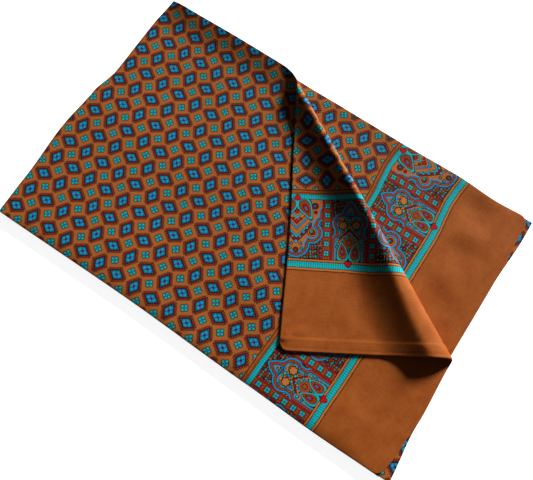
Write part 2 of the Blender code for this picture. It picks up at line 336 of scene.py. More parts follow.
def flatTube(columns, rows, place):
    # The tube while flat: an upper and a lower cloth, joined round both long edges and the sewn end
    mesh = bmesh.new()
    lastColumn, lastRow = len(columns) - 1, len(rows) - 1
    spots = {(i, j): place(column, row) for i, column in enumerate(columns) for j, row in enumerate(rows)}
    faces = {}
    for side in (1, -1):
        for spot, (x, y) in spots.items():
            faces[side, spot] = mesh.verts.new((x, y, side * halfPly))
        for i in range(lastColumn):
            for j in range(lastRow):
                ring = [faces[side, spot] for spot in ((i, j), (i + 1, j), (i + 1, j + 1), (i, j + 1))]
                mesh.faces.new(ring[::side])
    rim = [(i, 0) for i in range(lastColumn + 1)]
    rim += [(lastColumn, j) for j in range(1, lastRow + 1)]
    rim += [(i, lastRow) for i in range(lastColumn - 1, -1, -1)]
    rings = [[faces[1, spot] for spot in rim]]
    for turn in rimTurns:
        ring = []
        for step, spot in enumerate(rim):
            ahead = Vector(spots[rim[min(step + 1, len(rim) - 1)]])
            behind = Vector(spots[rim[max(step - 1, 0)]])
            way = (ahead - behind).normalized()
            out = Vector((way.y, -way.x)) * halfPly * math.sin(turn)
            x, y = spots[spot]
            ring.append(mesh.verts.new((x + out.x, y + out.y, halfPly * math.cos(turn))))
        rings.append(ring)
    rings.append([faces[-1, spot] for spot in rim])
    for upper, lower in zip(rings, rings[1:]):
        for step in range(len(rim) - 1):
            mesh.faces.new((upper[step], lower[step], lower[step + 1], upper[step + 1]))
    return mesh


def score(mesh, rolled, capped, settling):
    # One more section, along a line that runs near the turned corner's fold
    start, end = [
        fromFoldFrame(along, turnedLine(rolled, capped, settling, along))
        for along in (0, turnedCorner["length"])
    ]
    across = (start[1] - end[1], end[0] - start[0], 0)
    whole = mesh.verts[:] + mesh.edges[:] + mesh.faces[:]
    near = 0.0003  # corners this near are used as they are
    bmesh.ops.bisect_plane(mesh, geom=whole, dist=near, plane_co=(*start, 0), plane_no=across)


# Where the print lies on the faces, in repeats. "rows" is how far it trails, from edge to edge.
printPlace = {"alongZero": 5.125, "acrossZero": 1.195, "backEdge": 8.05}
topFace = {
    "diamonds": 0.0,
    "border": 0.36,
    "rows": [(-7.0, 0.205), (-5.0, 0.105), (-3.0, 0.038), (0.0, 0.0),
             (3.0, 0.038), (5.0, 0.105), (7.0, 0.205)],
}
turnedFace = {"diamonds": -0.42, "border": 0.045, "rows": [(4.0, 0.17), (5.6, 0.24)]}
secondFace = {
    "diamonds": 0.8,
    "border": 0.0,
    "rows": [(4.6, -0.01), (5.2, 0.02), (5.9, 0.12), (6.7, 0.20), (7.3, 0.18), (8.0, 0.12)],
}


def addPrintMaps(mesh, upperFace, lowerFace):
    field = mesh.loops.layers.uv.new("field")
    border = mesh.loops.layers.uv.new("border")
    for face in mesh.faces:
        side = upperFace if face.calc_center_median().z > 0 else lowerFace
        for loop in face.loops:
            n = loop.vert.co.x / pile["repeat"] + printPlace["alongZero"]
            m = loop.vert.co.y / pile["repeat"] + printPlace["acrossZero"]
            n += reach(side["rows"], m)
            loop[field].uv = (n, m + side["diamonds"])
            loop[border].uv = (n, printPlace["backEdge"] - m + side["border"])


# The sewn end: a groove at the seam, and inside it the turned-in edges, which show as a ridge
sewnEnd = {
    "groove": 0.0031,
    "grooveWidth": 0.0010,
    "grooveDepth": 0.35,
    "step": 0.0015,  # width over which the ridge falls
    "tip": 0.001,
}


def fullness(toEnd, allowance, extra):
    ridge = 1 - smooth((toEnd - allowance) / sewnEnd["step"] + 0.5)
    groove = math.exp(-(((toEnd - sewnEnd["groove"]) / sewnEnd["grooveWidth"]) ** 2))
    return 1 + extra * (ridge * smooth(toEnd / sewnEnd["tip"]) - sewnEnd["grooveDepth"] * groove)


def foldTube(name, mesh, lay, end, seam):
    nudge = 0.0001  # step over which the slope is measured
    for vert in mesh.verts:
        x, y, height = vert.co
        allowance, above, below = seam
        height *= fullness(reach(end, y) - x, allowance, above if height > 0 else below)
        slopeX = lay(x + nudge, y) - lay(x - nudge, y)
        slopeY = lay(x, y + nudge) - lay(x, y - nudge)
        vert.co = lay(x, y) + slopeX.cross(slopeY).normalized() * height
    data = bpy.data.meshes.new(name)
    mesh.to_mesh(data)
    mesh.free()
    piece = bpy.data.objects.new(name, data)
    bpy.context.collection.objects.link(piece)
    bpy.context.view_layer.objects.active = piece
    wall = piece.modifiers.new("Cloth", "SOLIDIFY")
    wall.thickness = pile["cloth"]
    wall.offset = -1
    bpy.ops.object.modifier_apply(modifier="Cloth")
    data.shade_smooth()
    return piece


topPiece = {
    "cell": 0.0036,
    "rollSteps": 14,
    "corners": [(1, 1, 0.0075), (1, -1, 0.007)],
    "seam": (0.0112, 0.0, 0.5),  # width turned in at the sewn end, how much fuller it is above and below
    "cornerSections": [6, 10, 12],  # round the fold, over its cap, and where it settles
}


def placeTop(column, row):
    u, v = rounded(max(column, -pile["halfLength"]), row, topPiece["corners"])
    share = (v + pile["halfWidth"]) / (2 * pile["halfWidth"])
    front, back = reach(frontEdge, u) + halfPly, reach(topBackEdge, u) - halfPly
    y = front + share * (back - front)
    left, right = reach(leftFold, y) + halfPly + roll, reach(topEnd, y) - halfPly
    x = left + (u + pile["halfLength"]) / (2 * pile["halfLength"]) * (right - left)
    return x + min(0.0, column + pile["halfLength"]), y


def makeTopCloth():
    arc = math.pi * roll
    steps = topPiece["rollSteps"]
    rolled = [-pile["halfLength"] - arc * (steps - step) / steps for step in range(steps)]
    cell = topPiece["cell"]
    mesh = flatTube(rolled + spreadColumns(cell), spreadRows(cell), placeTop)
    for stretch, sections in enumerate(topPiece["cornerSections"]):
        for step in range(sections):
            shares = [1] * stretch + [(step + 1) / sections] + [0] * (2 - stretch)
            score(mesh, *shares)
    score(mesh, 0, 0, 0)
    addPrintMaps(mesh, topFace, turnedFace)
    return foldTube("topCloth", mesh, layTop, topEnd, topPiece["seam"])


lowerPiece = {
    "cell": 0.0042,
    "hiddenCell": 0.009,
    "innerSteps": 6,
    "middleSteps": 12,
    "corners": [(1, 1, 0.009)],
    "seam": (0.0084, 0.2, 0.2),
    "thirdInset": 0.0007,
    "fourthInset": 0.0003,
    "insetShare": 0.05,  # share of a ply over which its inset changes
    "length": 0.390,  # nominal length of a hidden ply
}


def placeLower(column, row):
    half = pile["halfLength"]
    u, v = rounded(max(column, -half), row, lowerPiece["corners"])
    past = max(0.0, -half - column)
    innerArc, middleArc, length = math.pi * innerRoll, math.pi * middleRoll, lowerPiece["length"]
    third = clamped((past - innerArc) / length)
    fourth = clamped((past - innerArc - length - middleArc) / length)
    inset = lowerPiece["thirdInset"] * smooth(third / lowerPiece["insetShare"])
    change = lowerPiece["fourthInset"] - lowerPiece["thirdInset"]
    inset += change * smooth(fourth / lowerPiece["insetShare"])
    x = u if past == 0 else -half + (third - fourth) * 2 * half
    front, back = reach(frontEdge, x) + halfPly + inset, reach(backEdge, x) - halfPly - inset
    y = front + (v + pile["halfWidth"]) / (2 * pile["halfWidth"]) * (back - front)
    left, right = innerCentre(y), reach(secondEnd, y) - halfPly
    if past == 0:
        return left + (u + half) / (2 * half) * (right - left), y
    gone = min(past, innerArc) + third * (middleCentre(y) - left)
    gone += min(middleArc, max(0.0, past - innerArc - length))
    return left - gone - fourth * (middleCentre(y) - lastCut(y)), y


def makeLowerCloth():
    innerArc, middleArc, length = math.pi * innerRoll, math.pi * middleRoll, lowerPiece["length"]
    third = innerArc + length
    fourth = third + middleArc
    cutEnd = fourth + length
    past = spaced(0, innerArc, innerArc / lowerPiece["innerSteps"])
    past += spaced(innerArc, third, lowerPiece["hiddenCell"])
    past += spaced(third, fourth, middleArc / lowerPiece["middleSteps"])
    past += spaced(fourth, cutEnd, lowerPiece["hiddenCell"])
    past.append(cutEnd)
    rolled = [-pile["halfLength"] - step for step in past[:0:-1]]
    cell = lowerPiece["cell"]
    mesh = flatTube(rolled + spreadColumns(cell), spreadRows(cell), placeLower)
    addPrintMaps(mesh, secondFace, topFace)
    return foldTube("lowerCloth", mesh, layLower, secondEnd, lowerPiece["seam"])


topCloth = makeTopCloth()
print("top cloth folded", len(topCloth.data.polygons))
lowerCloth = makeLowerCloth()
print("lower cloth folded", len(lowerCloth.data.polygons))


softEdge = 0.024  # how soft the edge of a dye is, in repeats


class Wire:
    # A value or colour in a material, with Python's own maths
    def __init__(self, socket):
        self.socket = socket

    @classmethod
    def node(cls, tree, kind, settings=None, inputs=None, output=0):
        made = tree.nodes.new("ShaderNode" + kind)
        for name, value in (settings or {}).items():
            setattr(made, name, value)
        for name, value in (inputs or {}).items():
            if isinstance(value, Wire):
                tree.links.new(value.socket, made.inputs[name])
            else:
                made.inputs[name].default_value = value
        return cls(made.outputs[output])

    def make(self, kind, settings=None, inputs=None, output=0):
        return Wire.node(self.socket.id_data, kind, settings, inputs, output)

    def maths(self, operation, *values, clamp=False):
        return self.make("Math", {"operation": operation, "use_clamp": clamp}, dict(enumerate(values)))

    def vector(self, operation, *values, output=0):
        inputs = dict(enumerate(values))
        return self.make("VectorMath", {"operation": operation}, inputs, output)

    def __add__(self, other):
        return self.maths("ADD", self, other)

    def __radd__(self, other):
        return self.maths("ADD", other, self)

    def __sub__(self, other):
        return self.maths("SUBTRACT", self, other)

    def __rsub__(self, other):
        return self.maths("SUBTRACT", other, self)

    def __mul__(self, other):
        return self.maths("MULTIPLY", self, other)

    def __rmul__(self, other):
        return self.maths("MULTIPLY", other, self)

    def __truediv__(self, other):
        return self.maths("DIVIDE", self, other)

    def __neg__(self):
        return self.maths("MULTIPLY", self, -1.0)

    def __abs__(self):
        return self.maths("ABSOLUTE", self)

    def fraction(self):
        return self.maths("FRACT", self)

    def within(self, limit, soft=softEdge):
        # 1 where the value is less than the limit, with a soft step
        return self.maths("MULTIPLY_ADD", self, -1 / soft, limit / soft + 0.5, clamp=True)

    def near(self, middle, half, soft=softEdge):
        return abs(self - middle).within(half, soft)

    def least(self, other):
        return self.maths("MINIMUM", self, other)

    def most(self, other):
        return self.maths("MAXIMUM", self, other)

    def far(self, x, y):
        # distance of the point from (x, y)
        return self.vector("DISTANCE", self, (x, y, 0), output=1)

    def point(self, x, y):
        return self.make("CombineXYZ", None, {0: x, 1: y})

    def dyed(self, mask, colour):
        mixed = {"Factor": mask, 6: self, 7: colour}
        return self.make("Mix", {"data_type": "RGBA"}, mixed, output=2)


def dye(red, green, blue):
    channels = [channel / 255 for channel in (red, green, blue)]
    return (*[c / 12.92 if c < 0.04 else ((c + 0.055) / 1.055) ** 2.4 for c in channels], 1)


dyes = {
    "ground": dye(153, 83, 34),
    "groundDark": dye(134, 63, 22),
    "fieldGround": dye(156, 92, 44),
    "ring": dye(76, 22, 16),
    "ringDot": dye(128, 52, 34),
    "black": dye(14, 9, 9),
    "blue": dye(8, 98, 134),
    "outline": dye(14, 130, 174),
    "paleBlue": dye(30, 150, 192),
    "centre": dye(66, 6, 24),
    "teal": dye(8, 130, 134),
    "paleTeal": dye(36, 172, 178),
    "stripe": dye(2, 168, 174),
    "wine": dye(112, 8, 16),
    "rail": dye(136, 14, 16),
    "red": dye(168, 8, 20),
    "orange": dye(164, 58, 20),
    "rust": dye(140, 62, 28),
    "tan": dye(174, 102, 46),
    "night": dye(22, 26, 36),
    "pin": dye(56, 22, 12),
}


# All sizes of the print are in repeats.
diamond = {
    "slope": (0.566, 0.825),  # direction of its sides
    "side": 0.184,  # from its middle to its sides
    "blunt": 0.312,  # from its middle to its two cut corners
    "ripples": 51,
    "ring": (0.174, 0.022),  # how far out, and how much that ripples
    "ringDots": (0.112, 0.040),
    "line": (0.042, 0.012),
    "core": (0.0, 0.008),
    "pale": [(0.15, 0.02, 0.055, 0.06), (0.03, 0.105, 0.04, 0.05)],
    "paleShare": 0.7,
    "spots": [(0.235, 0.0, 0.02, "black"), (0.09, 0.07, 0.018, "black"), (0.0, 0.0, 0.060, "centre")],
}
square = {
    "turns": (-0.27, 0.42),  # how it's turned, and how much more every other one is
    "lobe": (0.080, 0.080),
    "rings": [(0.106, 0.02, "black"), (0.072, 0.02, "teal"), (0.032, 0.05, "paleTeal")],
    "middle": [(0.06, 0.02, "night"), (0.03, 0.02, "paleBlue")],
}


def cellOf(place):
    # A point's place in its cell, from the cell's middle, and 1 in every other cell
    corner = place.vector("FLOOR", place)
    local = place.vector("SUBTRACT", place, corner)
    local = local.vector("SUBTRACT", local, (0.5, 0.5, 0))
    odd = corner.vector("DOT_PRODUCT", corner, (0.5, 0.5, 0), output=1).fraction() * 2
    return local, odd


def split(point):
    return tuple(point.make("SeparateXYZ", None, {0: point}, axis) for axis in (0, 1))


def dyeField(cloth, place):
    # Diamonds on the whole repeats, turned by turns, and lobed squares on the half repeats
    local, odd = cellOf(place.vector("ADD", place, (0.5, 0.5, 0)))
    side = local.vector("ABSOLUTE", local)
    alongSide, acrossSide = split(side)
    long = alongSide + odd * (acrossSide - alongSide)
    short = acrossSide + odd * (alongSide - acrossSide)
    out, up = diamond["slope"]
    gap = (long * out + short * up - diamond["side"]).most(long - diamond["blunt"])
    ripple = (long * up - short * out) * diamond["ripples"]
    ripple = ripple.maths("COSINE", ripple)
    limit, swing = diamond["ring"]
    cloth = cloth.dyed((gap - ripple * swing).within(limit), dyes["ring"])
    cloth = cloth.dyed(gap.near(*diamond["ringDots"], 0.03) * (-ripple).within(0.1, 1.0), dyes["ringDot"])
    limit, swing = diamond["line"]
    cloth = cloth.dyed((gap - ripple * swing).within(limit, 0.02), dyes["black"])
    limit, swing = diamond["core"]
    cloth = cloth.dyed((gap - ripple * swing).within(limit, 0.02), dyes["blue"])
    patch = side.point(long, short)
    pale = [patch.far(x, y).within(radius, soft) for x, y, radius, soft in diamond["pale"]]
    cloth = cloth.dyed(pale[0].most(pale[1]) * diamond["paleShare"], dyes["paleBlue"])
    for x, y, radius, colour in diamond["spots"]:
        cloth = cloth.dyed(patch.far(x, y).within(radius, 0.03), dyes[colour])

    local, odd = cellOf(place)
    x, y = split(local)
    start, more = square["turns"]
    turn = odd * more + start
    u = x - y * turn
    v = y + x * turn
    lobes = u.point(abs(u + v) * math.sqrt(0.5), abs(u - v) * math.sqrt(0.5))
    cloth = ringed(cloth, lobes.far(*square["lobe"]), square["rings"])
    return ringed(cloth, lobes.far(0.0, 0.0), square["middle"])


# The line round a form: where its bands lie from the edge inwards, and how wide they are
formLine = {
    "whole": (-0.10, 0.165),
    "outer": (0.0, 0.034),
    "band": (-0.102, 0.037),
    "inner": (-0.204, 0.034),
    "specks": 0.8,
    "inside": -0.24,
}


def outlined(cloth, gap, specks):
    # From the edge of a form inwards: a blue line, a specked orange band and another blue line
    cloth = cloth.dyed(gap.near(*formLine["whole"]), dyes["black"])
    cloth = cloth.dyed(gap.near(*formLine["outer"]), dyes["outline"])
    cloth = cloth.dyed(gap.near(*formLine["band"]), dyes["orange"])
    cloth = cloth.dyed(gap.near(*formLine["band"]) * specks * formLine["specks"], dyes["black"])
    return cloth.dyed(gap.near(*formLine["inner"]), dyes["outline"])


drops = {
    "length": 0.44,
    "width": 0.24,
    "taper": (-0.55, 0.95),  # how its width changes along it, and its width in the middle
    "tail": 0.12,
    "rings": [(1.14, 0.08, "black"), (1.0, 0.08, "stripe"), (0.82, 0.08, "black"), (0.74, 0.08, "rust")],
    "dots": (0.60, 0.10, 0.06),
    "middle": [(0.46, 0.08, "wine"), (0.18, 0.1, "blue")],
}


def drop(point, x, y, turn, length, width):
    # Distance from the middle of a drop, 1 at its edge. Its tail points along the turned +Y.
    settings = {"vector_type": "TEXTURE"}
    place = {"Location": (x, y, 0), "Rotation": (0, 0, turn), "Scale": (width, length, 1)}
    local = point.make("Mapping", settings, {"Vector": point, **place})
    across, along = split(local)
    taper = along.maths("MULTIPLY_ADD", along, *drops["taper"]).most(drops["tail"])
    shape = along.point(across / taper, along)
    return shape.vector("LENGTH", shape, output=1)


def ringed(cloth, far, rings):
    # Rings of a colour, (radius, softness, colour), each over the one before
    for radius, soft, colour in rings:
        cloth = cloth.dyed(far.within(radius, soft), dyes[colour])
    return cloth


def paisley(cloth, point, x, y, turn, size, dots):
    far = drop(point, x, y, turn, drops["length"] * size, drops["width"] * size)
    cloth = ringed(cloth, far, drops["rings"])
    cloth = cloth.dyed(far.near(*drops["dots"]) * dots, dyes["black"])
    return ringed(cloth, far, drops["middle"])


spotLine = 0.034  # width of the dark line round a spot


def spotted(cloth, point, spots):
    # Round spots: x, y, radius and colour
    for x, y, radius, colour in spots:
        far = point.far(x, y)
        cloth = cloth.dyed(far.within(radius + spotLine), dyes["black"])
        cloth = cloth.dyed(far.within(radius), dyes[colour])
    return cloth


def banded(cloth, mask, value, bands):
    # Stripes of a colour, (upper limit, colour), each over the one before
    for limit, colour in bands:
        cloth = cloth.dyed(value.within(limit) * mask, dyes[colour])
    return cloth


# The border. x runs across the cloth from the middle of a form, and along runs to the sewn end.
formStart = 2.8
formSpacing = 2.49  # from the middle of an arch to the middle of a hanging form
archForm = {
    "tip": (-0.69, 9.9, 1.095),  # circles: middle and radius
    "lobe": (0.29, 10.07, 0.49),
    "waist": (0.67, 9.75),
    "belly": (0.55, 10.9, 0.29),
    "dots": [(0.40, 0.1, "black"), (0.24, 0.1, "teal")],
    "bandSlope": (10.75, 0.48),
    "bandHalf": 0.46,
    "bands": [(11.6, "rust"), (10.70, "black"), (10.67, "teal"), (10.61, "black"), (10.58, "tan"),
              (10.46, "black"), (10.44, "wine"), (10.33, "black"), (10.30, "tan")],
    "flower": (0.30, 10.17, 0),
    "flowerLine": 0.215,
    "flowerRadius": 0.165,
    "petals": 7,
    "petalDepth": 0.018,
    "paisley": (0.30, 11.42, math.pi + 0.12, 1.05),  # x, along, turn and size
    "spots": [
        (0.0, 9.93, 0.05, "paleTeal"), (0.0, 10.13, 0.055, "teal"), (0.15, 10.38, 0.05, "paleTeal"),
        (0.34, 10.47, 0.05, "teal"), (0.53, 10.33, 0.045, "teal"), (0.54, 9.98, 0.045, "teal"),
        (0.10, 9.70, 0.045, "teal"), (0.47, 10.72, 0.045, "teal"), (0.55, 10.95, 0.045, "paleTeal"),
        (0.56, 11.20, 0.045, "teal"), (0.10, 10.58, 0.04, "paleBlue"), (0.26, 10.74, 0.04, "paleBlue"),
        (0.0, 10.98, 0.10, "rust"), (0.0, 11.30, 0.04, "teal"),
    ],
}
hangingForm = {
    "top": (0.92, 9.72, 0.35),
    "lobe": (0.73, 10.60, 0.48),
    "core": (1.05, 10.12, 11.3),  # where its slanting side passes, and how far it goes
    "coreSlope": (0.919, 0.395),
    "end": (0.0, 11.17, 0.60),
    "bandSlope": 1.1,
    "bandHalf": 0.72,
    "bands": [(11.14, "black"), (11.11, "wine"), (10.90, "black"), (10.86, "stripe"), (10.78, "black"),
              (10.74, "tan"), (10.50, "black"), (10.46, "outline"), (10.37, "black"), (10.33, "tan"),
              (10.24, "wine"), (10.16, "tan"), (9.98, "black"), (9.94, "stripe"), (9.86, "black"),
              (9.82, "tan")],
    "speckedBand": (10.61, 0.11),
    "speckedHalf": 0.6,
    "paisley": (0.42, 9.42, -0.49, 1.3),
    "spots": [
        (0.0, 11.03, 0.068, "paleBlue"), (0.18, 10.79, 0.05, "paleBlue"), (0.34, 10.58, 0.05, "paleBlue"),
        (0.49, 10.37, 0.05, "paleBlue"), (0.62, 10.17, 0.05, "blue"), (0.22, 11.14, 0.05, "teal"),
        (0.27, 11.37, 0.05, "teal"), (0.74, 10.58, 0.20, "tan"), (0.74, 10.58, 0.12, "wine"),
        (0.70, 10.53, 0.07, "teal"), (0.0, 11.45, 0.11, "wine"), (0.0, 11.45, 0.03, "teal"),
        (0.0, 9.58, 0.085, "red"), (0.0, 10.06, 0.085, "red"), (0.84, 9.28, 0.14, "wine"),
        (0.84, 9.28, 0.05, "blue"), (0.88, 9.60, 0.06, "wine"), (0.66, 9.93, 0.05, "paleTeal"),
        (0.17, 9.93, 0.035, "red"),
    ],
}
ladder = {
    "middle": 1.05,
    "start": 9.245,
    "step": 0.46,
    "half": 0.25,
    "rails": [(0.262, "black"), (0.238, "rail"), (0.168, "black"), (0.155, "rust")],
    "rungs": [(0.085, "wine"), (0.055, "rust")],
    "squares": [(0.140, "black"), (0.104, "teal")],
    "lobe": (0.064, 0.064),
    "lobeRadius": (0.036, 0.05),
    "centre": 0.028,
}


def roundCorner(x, along, radius):
    # Distance from a rounded corner, by how far x and along are past it
    corner = x.vector("MAXIMUM", x.point(x, along), (0, 0, 0))
    return corner.vector("LENGTH", corner, output=1) - radius


def dyeArch(cloth, x, along, dots, specks):
    point = x.point(x, along)
    middleX, middleAlong, radius = archForm["tip"]
    tip = (point.far(middleX, middleAlong) - radius).most(along - middleAlong)
    lobe = point.far(*archForm["lobe"][:2]) - archForm["lobe"][2]
    waist = (x - archForm["waist"][0]).most(archForm["waist"][1] - along)
    cornerX, cornerAlong, radius = archForm["belly"]
    belly = roundCorner(x - cornerX, cornerAlong - along, radius)
    form = tip.least(lobe).least(waist).least(belly)
    cloth = outlined(cloth, form, specks)
    inside = form.within(formLine["inside"])
    cloth = cloth.dyed(inside, dyes["tan"])
    for radius, soft, colour in archForm["dots"]:
        cloth = cloth.dyed(inside * dots.within(radius, soft), dyes[colour])

    # A small pointed arch of bands over a rosette and two paisleys
    slope = along - x
    mask = x.within(archForm["bandHalf"]) * slope.near(*archForm["bandSlope"])
    cloth = banded(cloth, mask, slope, archForm["bands"])
    cloth = spotted(cloth, point, archForm["spots"])
    flower = point.vector("SUBTRACT", point, archForm["flower"])
    flowerX, flowerY = split(flower)
    petals = flowerX.maths("ARCTAN2", flowerY, flowerX) * archForm["petals"]
    flower = flower.vector("LENGTH", flower, output=1)
    flower = flower + petals.maths("SINE", petals) * archForm["petalDepth"]
    cloth = cloth.dyed(flower.within(archForm["flowerLine"]), dyes["black"])
    cloth = cloth.dyed(flower.within(archForm["flowerRadius"]), dyes["tan"])
    cloth = paisley(cloth, point, *archForm["paisley"], specks)
    return cloth, form


def dyeLadder(cloth, x, along):
    # Small lobed squares between two rails
    rail = abs(x - ladder["middle"])
    rung = ((along - ladder["start"]) * (1 / ladder["step"]) + 0.5).fraction() * ladder["step"]
    height = abs(rung - ladder["step"] / 2)
    for limit, colour in ladder["rails"]:
        cloth = cloth.dyed(rail.within(limit), dyes[colour])
    between = rail.most(abs(height - ladder["step"] / 2))
    for limit, colour in ladder["rungs"]:
        cloth = cloth.dyed(between.within(limit), dyes[colour])
    inSquare = rail.most(height)
    for limit, colour in ladder["squares"]:
        cloth = cloth.dyed(inSquare.within(limit), dyes[colour])
    lobe = rail.point(rail, height).far(*ladder["lobe"])
    cloth = cloth.dyed(lobe.within(*ladder["lobeRadius"]), dyes["paleTeal"])
    return cloth.dyed(inSquare.within(ladder["centre"]), dyes["night"])


def dyeHanging(cloth, x, along, dots, specks):
    point = x.point(x, along)
    cornerX, cornerAlong, radius = hangingForm["top"]
    top = roundCorner(x - cornerX, along - cornerAlong, radius)
    lobe = point.far(*hangingForm["lobe"][:2]) - hangingForm["lobe"][2]
    coreX, coreAlong, coreEnd = hangingForm["core"]
    out, up = hangingForm["coreSlope"]
    core = ((x - coreX) * out + (along - coreAlong) * up).most(along - coreEnd)
    end = point.far(*hangingForm["end"][:2]) - hangingForm["end"][2]
    form = top.least(lobe).least(core).least(end)
    cloth = outlined(cloth, form, specks)
    inside = form.within(formLine["inside"])
    cloth = cloth.dyed(inside, dyes["tan"])
    cloth = cloth.dyed(inside * specks, dyes["rust"])

    # Bands that point down the middle
    slope = along + x * hangingForm["bandSlope"]
    cloth = banded(cloth, inside * x.within(hangingForm["bandHalf"]), slope, hangingForm["bands"])
    mask = inside * x.within(hangingForm["speckedHalf"]) * slope.near(*hangingForm["speckedBand"])
    cloth = cloth.dyed(mask * specks, dyes["rust"])
    cloth = spotted(cloth, point, hangingForm["spots"])
    cloth = paisley(cloth, point, *hangingForm["paisley"], specks)
    return cloth, form


# The border's ground: loose dots on tan and wine, and finer specks for the bands
borderGround = {
    "loose": (4.0, 2.0),  # scale and detail of what moves the dots
    "dotTurn": 0.7,
    "dotScale": 5.4,
    "speckScale": 2.6,  # in each dot's cell
    "speck": (0.30, 0.2),
    "patches": (3.4, 1.0),
    "wine": (0.47, 0.04),
    "dotLine": (0.51, 0.1),
    "dot": (0.28, 0.1),
    "archEnd": 10.68,  # an arch's shoulders reach over the ladder before this place
    "hangingStart": 10.0,
    "overlap": 0.05,
}


def cloud(place, scale, detail, output=0):
    return place.make("TexNoise", None, {"Vector": place, "Scale": scale, "Detail": detail}, output)


def dyeBorder(cloth, place):
    along, across = split(place)
    x = (across - formStart).maths("PINGPONG", across - formStart, formSpacing)
    loose = cloud(place, *borderGround["loose"], 1)
    scale = (borderGround["dotScale"], borderGround["dotScale"], 1)
    turned = {"Vector": place, "Rotation": (0, 0, borderGround["dotTurn"]), "Scale": scale}
    grid = place.make("Mapping", {"vector_type": "POINT"}, turned)
    grid = grid.vector("MULTIPLY_ADD", loose, (1, 1, 0), grid)
    corner = grid.vector("FLOOR", grid)
    dots = grid.vector("SUBTRACT", grid, corner).far(0.5, 0.5)
    scale = (borderGround["speckScale"], borderGround["speckScale"], 0)
    fine = grid.vector("FRACTION", grid.vector("MULTIPLY", grid, scale))
    specks = fine.far(0.5, 0.5).within(*borderGround["speck"])
    odd = corner.vector("DOT_PRODUCT", corner, (0.5, 0.5, 0), output=1).fraction() * 2
    patches = cloud(place, *borderGround["patches"])
    cloth = cloth.dyed(1.0, dyes["tan"])
    cloth = cloth.dyed(specks, dyes["rust"])
    cloth = cloth.dyed(patches.within(*borderGround["wine"]), dyes["wine"])
    cloth = cloth.dyed(dots.within(*borderGround["dotLine"]), dyes["black"])
    cloth = cloth.dyed(dots.within(*borderGround["dot"]), dyes["teal"])
    cloth = cloth.dyed(dots.within(*borderGround["dot"]) * odd, dyes["rail"])

    laddered = dyeLadder(cloth, x, along)
    arched, arch = dyeArch(cloth, x, along, dots, specks)
    hung, hanging = dyeHanging(cloth, formSpacing - x, along, dots, specks)
    shown = hung.dyed(x.within(ladder["middle"]), arched)
    shown = shown.dyed(abs(x - ladder["middle"]).within(ladder["half"]), laddered)
    over = arch.within(borderGround["overlap"]) * along.within(borderGround["archEnd"])
    shown = shown.dyed(over, arched)
    over = hanging.within(borderGround["overlap"]) * (borderGround["hangingStart"] - along).within(0.0)
    return shown.dyed(over, hung)


# The stripes beside the border: where their middle is, and half their width
stripes = {
    "inner": (8.83, 0.105),
    "outer": (12.12, 0.125),
    "edge": 0.03,
    "ticks": 9.4,  # in each repeat
    "tickBend": 1.6,
    "tick": (0.24, 0.2),
    "tickShare": 0.8,
    "line": 0.4,  # where the fine line lies, in halves of the width
    "lineHalf": 0.008,
    "lineShare": 0.5,
}


def dyeStripe(cloth, along, across, middle, half):
    # A braid: short bent ticks, and a fine line beside its middle
    off = along - middle
    cloth = cloth.dyed(abs(off).within(half + stripes["edge"]), dyes["black"])
    cloth = cloth.dyed(abs(off).within(half), dyes["stripe"])
    tick = (across * stripes["ticks"] + abs(off) * stripes["tickBend"]).fraction()
    ticks = abs(off).within(half) * tick.within(*stripes["tick"]) * stripes["tickShare"]
    cloth = cloth.dyed(ticks, dyes["night"])
    line = abs(off + half * stripes["line"]).within(stripes["lineHalf"])
    return cloth.dyed(line * stripes["lineShare"], dyes["night"])


hearts = {"inner": 8.91, "outer": 11.98, "lobe": 0.07, "lift": 0.03, "line": 0.115, "radius": 0.085}


def dyeHearts(cloth, along, across):
    # One on the inner stripe at each hanging form, one on the outer stripe at each arch
    x = (across - formStart).maths("PINGPONG", across - formStart, formSpacing)
    for point, y, way in (
        (x.point(x, along), hearts["outer"], -1),
        (x.point(formSpacing - x, along), hearts["inner"], 1),
    ):
        halves = point.far(hearts["lobe"], y + hearts["lift"] * way)
        halves = halves.least(point.far(0, y - hearts["lobe"] * way))
        cloth = cloth.dyed(halves.within(hearts["line"]), dyes["black"])
        cloth = cloth.dyed(halves.within(hearts["radius"]), dyes["red"])
    return cloth


# Where the parts of the print lie along the cloth, and the lines between them: middle, half width, colour
layout = {
    "fieldEnd": 8.44,
    "border": (10.4, 1.5),
    "innerLines": [(8.50, 0.022, "pin"), (8.64, 0.016, "pin")],
    "borderEnd": [(11.88, 0.05, "black"), (11.90, 0.032, "tan")],
    "outerLines": [(12.32, 0.035, "tan"), (12.40, 0.018, "pin")],
}
weave = {
    "roughness": 0.6,
    "gloss": 0.09,
    "glossTint": (1.0, 0.84, 0.45, 1),
    "waver": 0.05,  # how far the print wavers
    "waves": (7.0, 1.0),
    "fieldShare": 0.6,  # how much paler the ground of the diamonds is
    "streaks": [(2.0, 40.0, 0), (40.0, 2.0, 0), (1.2, 1.2, 0)],
    "streakGain": 1.6,
    "streakLevel": 1.9,
    "threads": 300,
    "threadShare": 0.3,
    "bumpStrength": 0.5,
    "bumpHeight": 0.00006,
}


def dyeLines(cloth, along, lines):
    for middle, half, colour in lines:
        cloth = cloth.dyed(along.near(middle, half), dyes[colour])
    return cloth


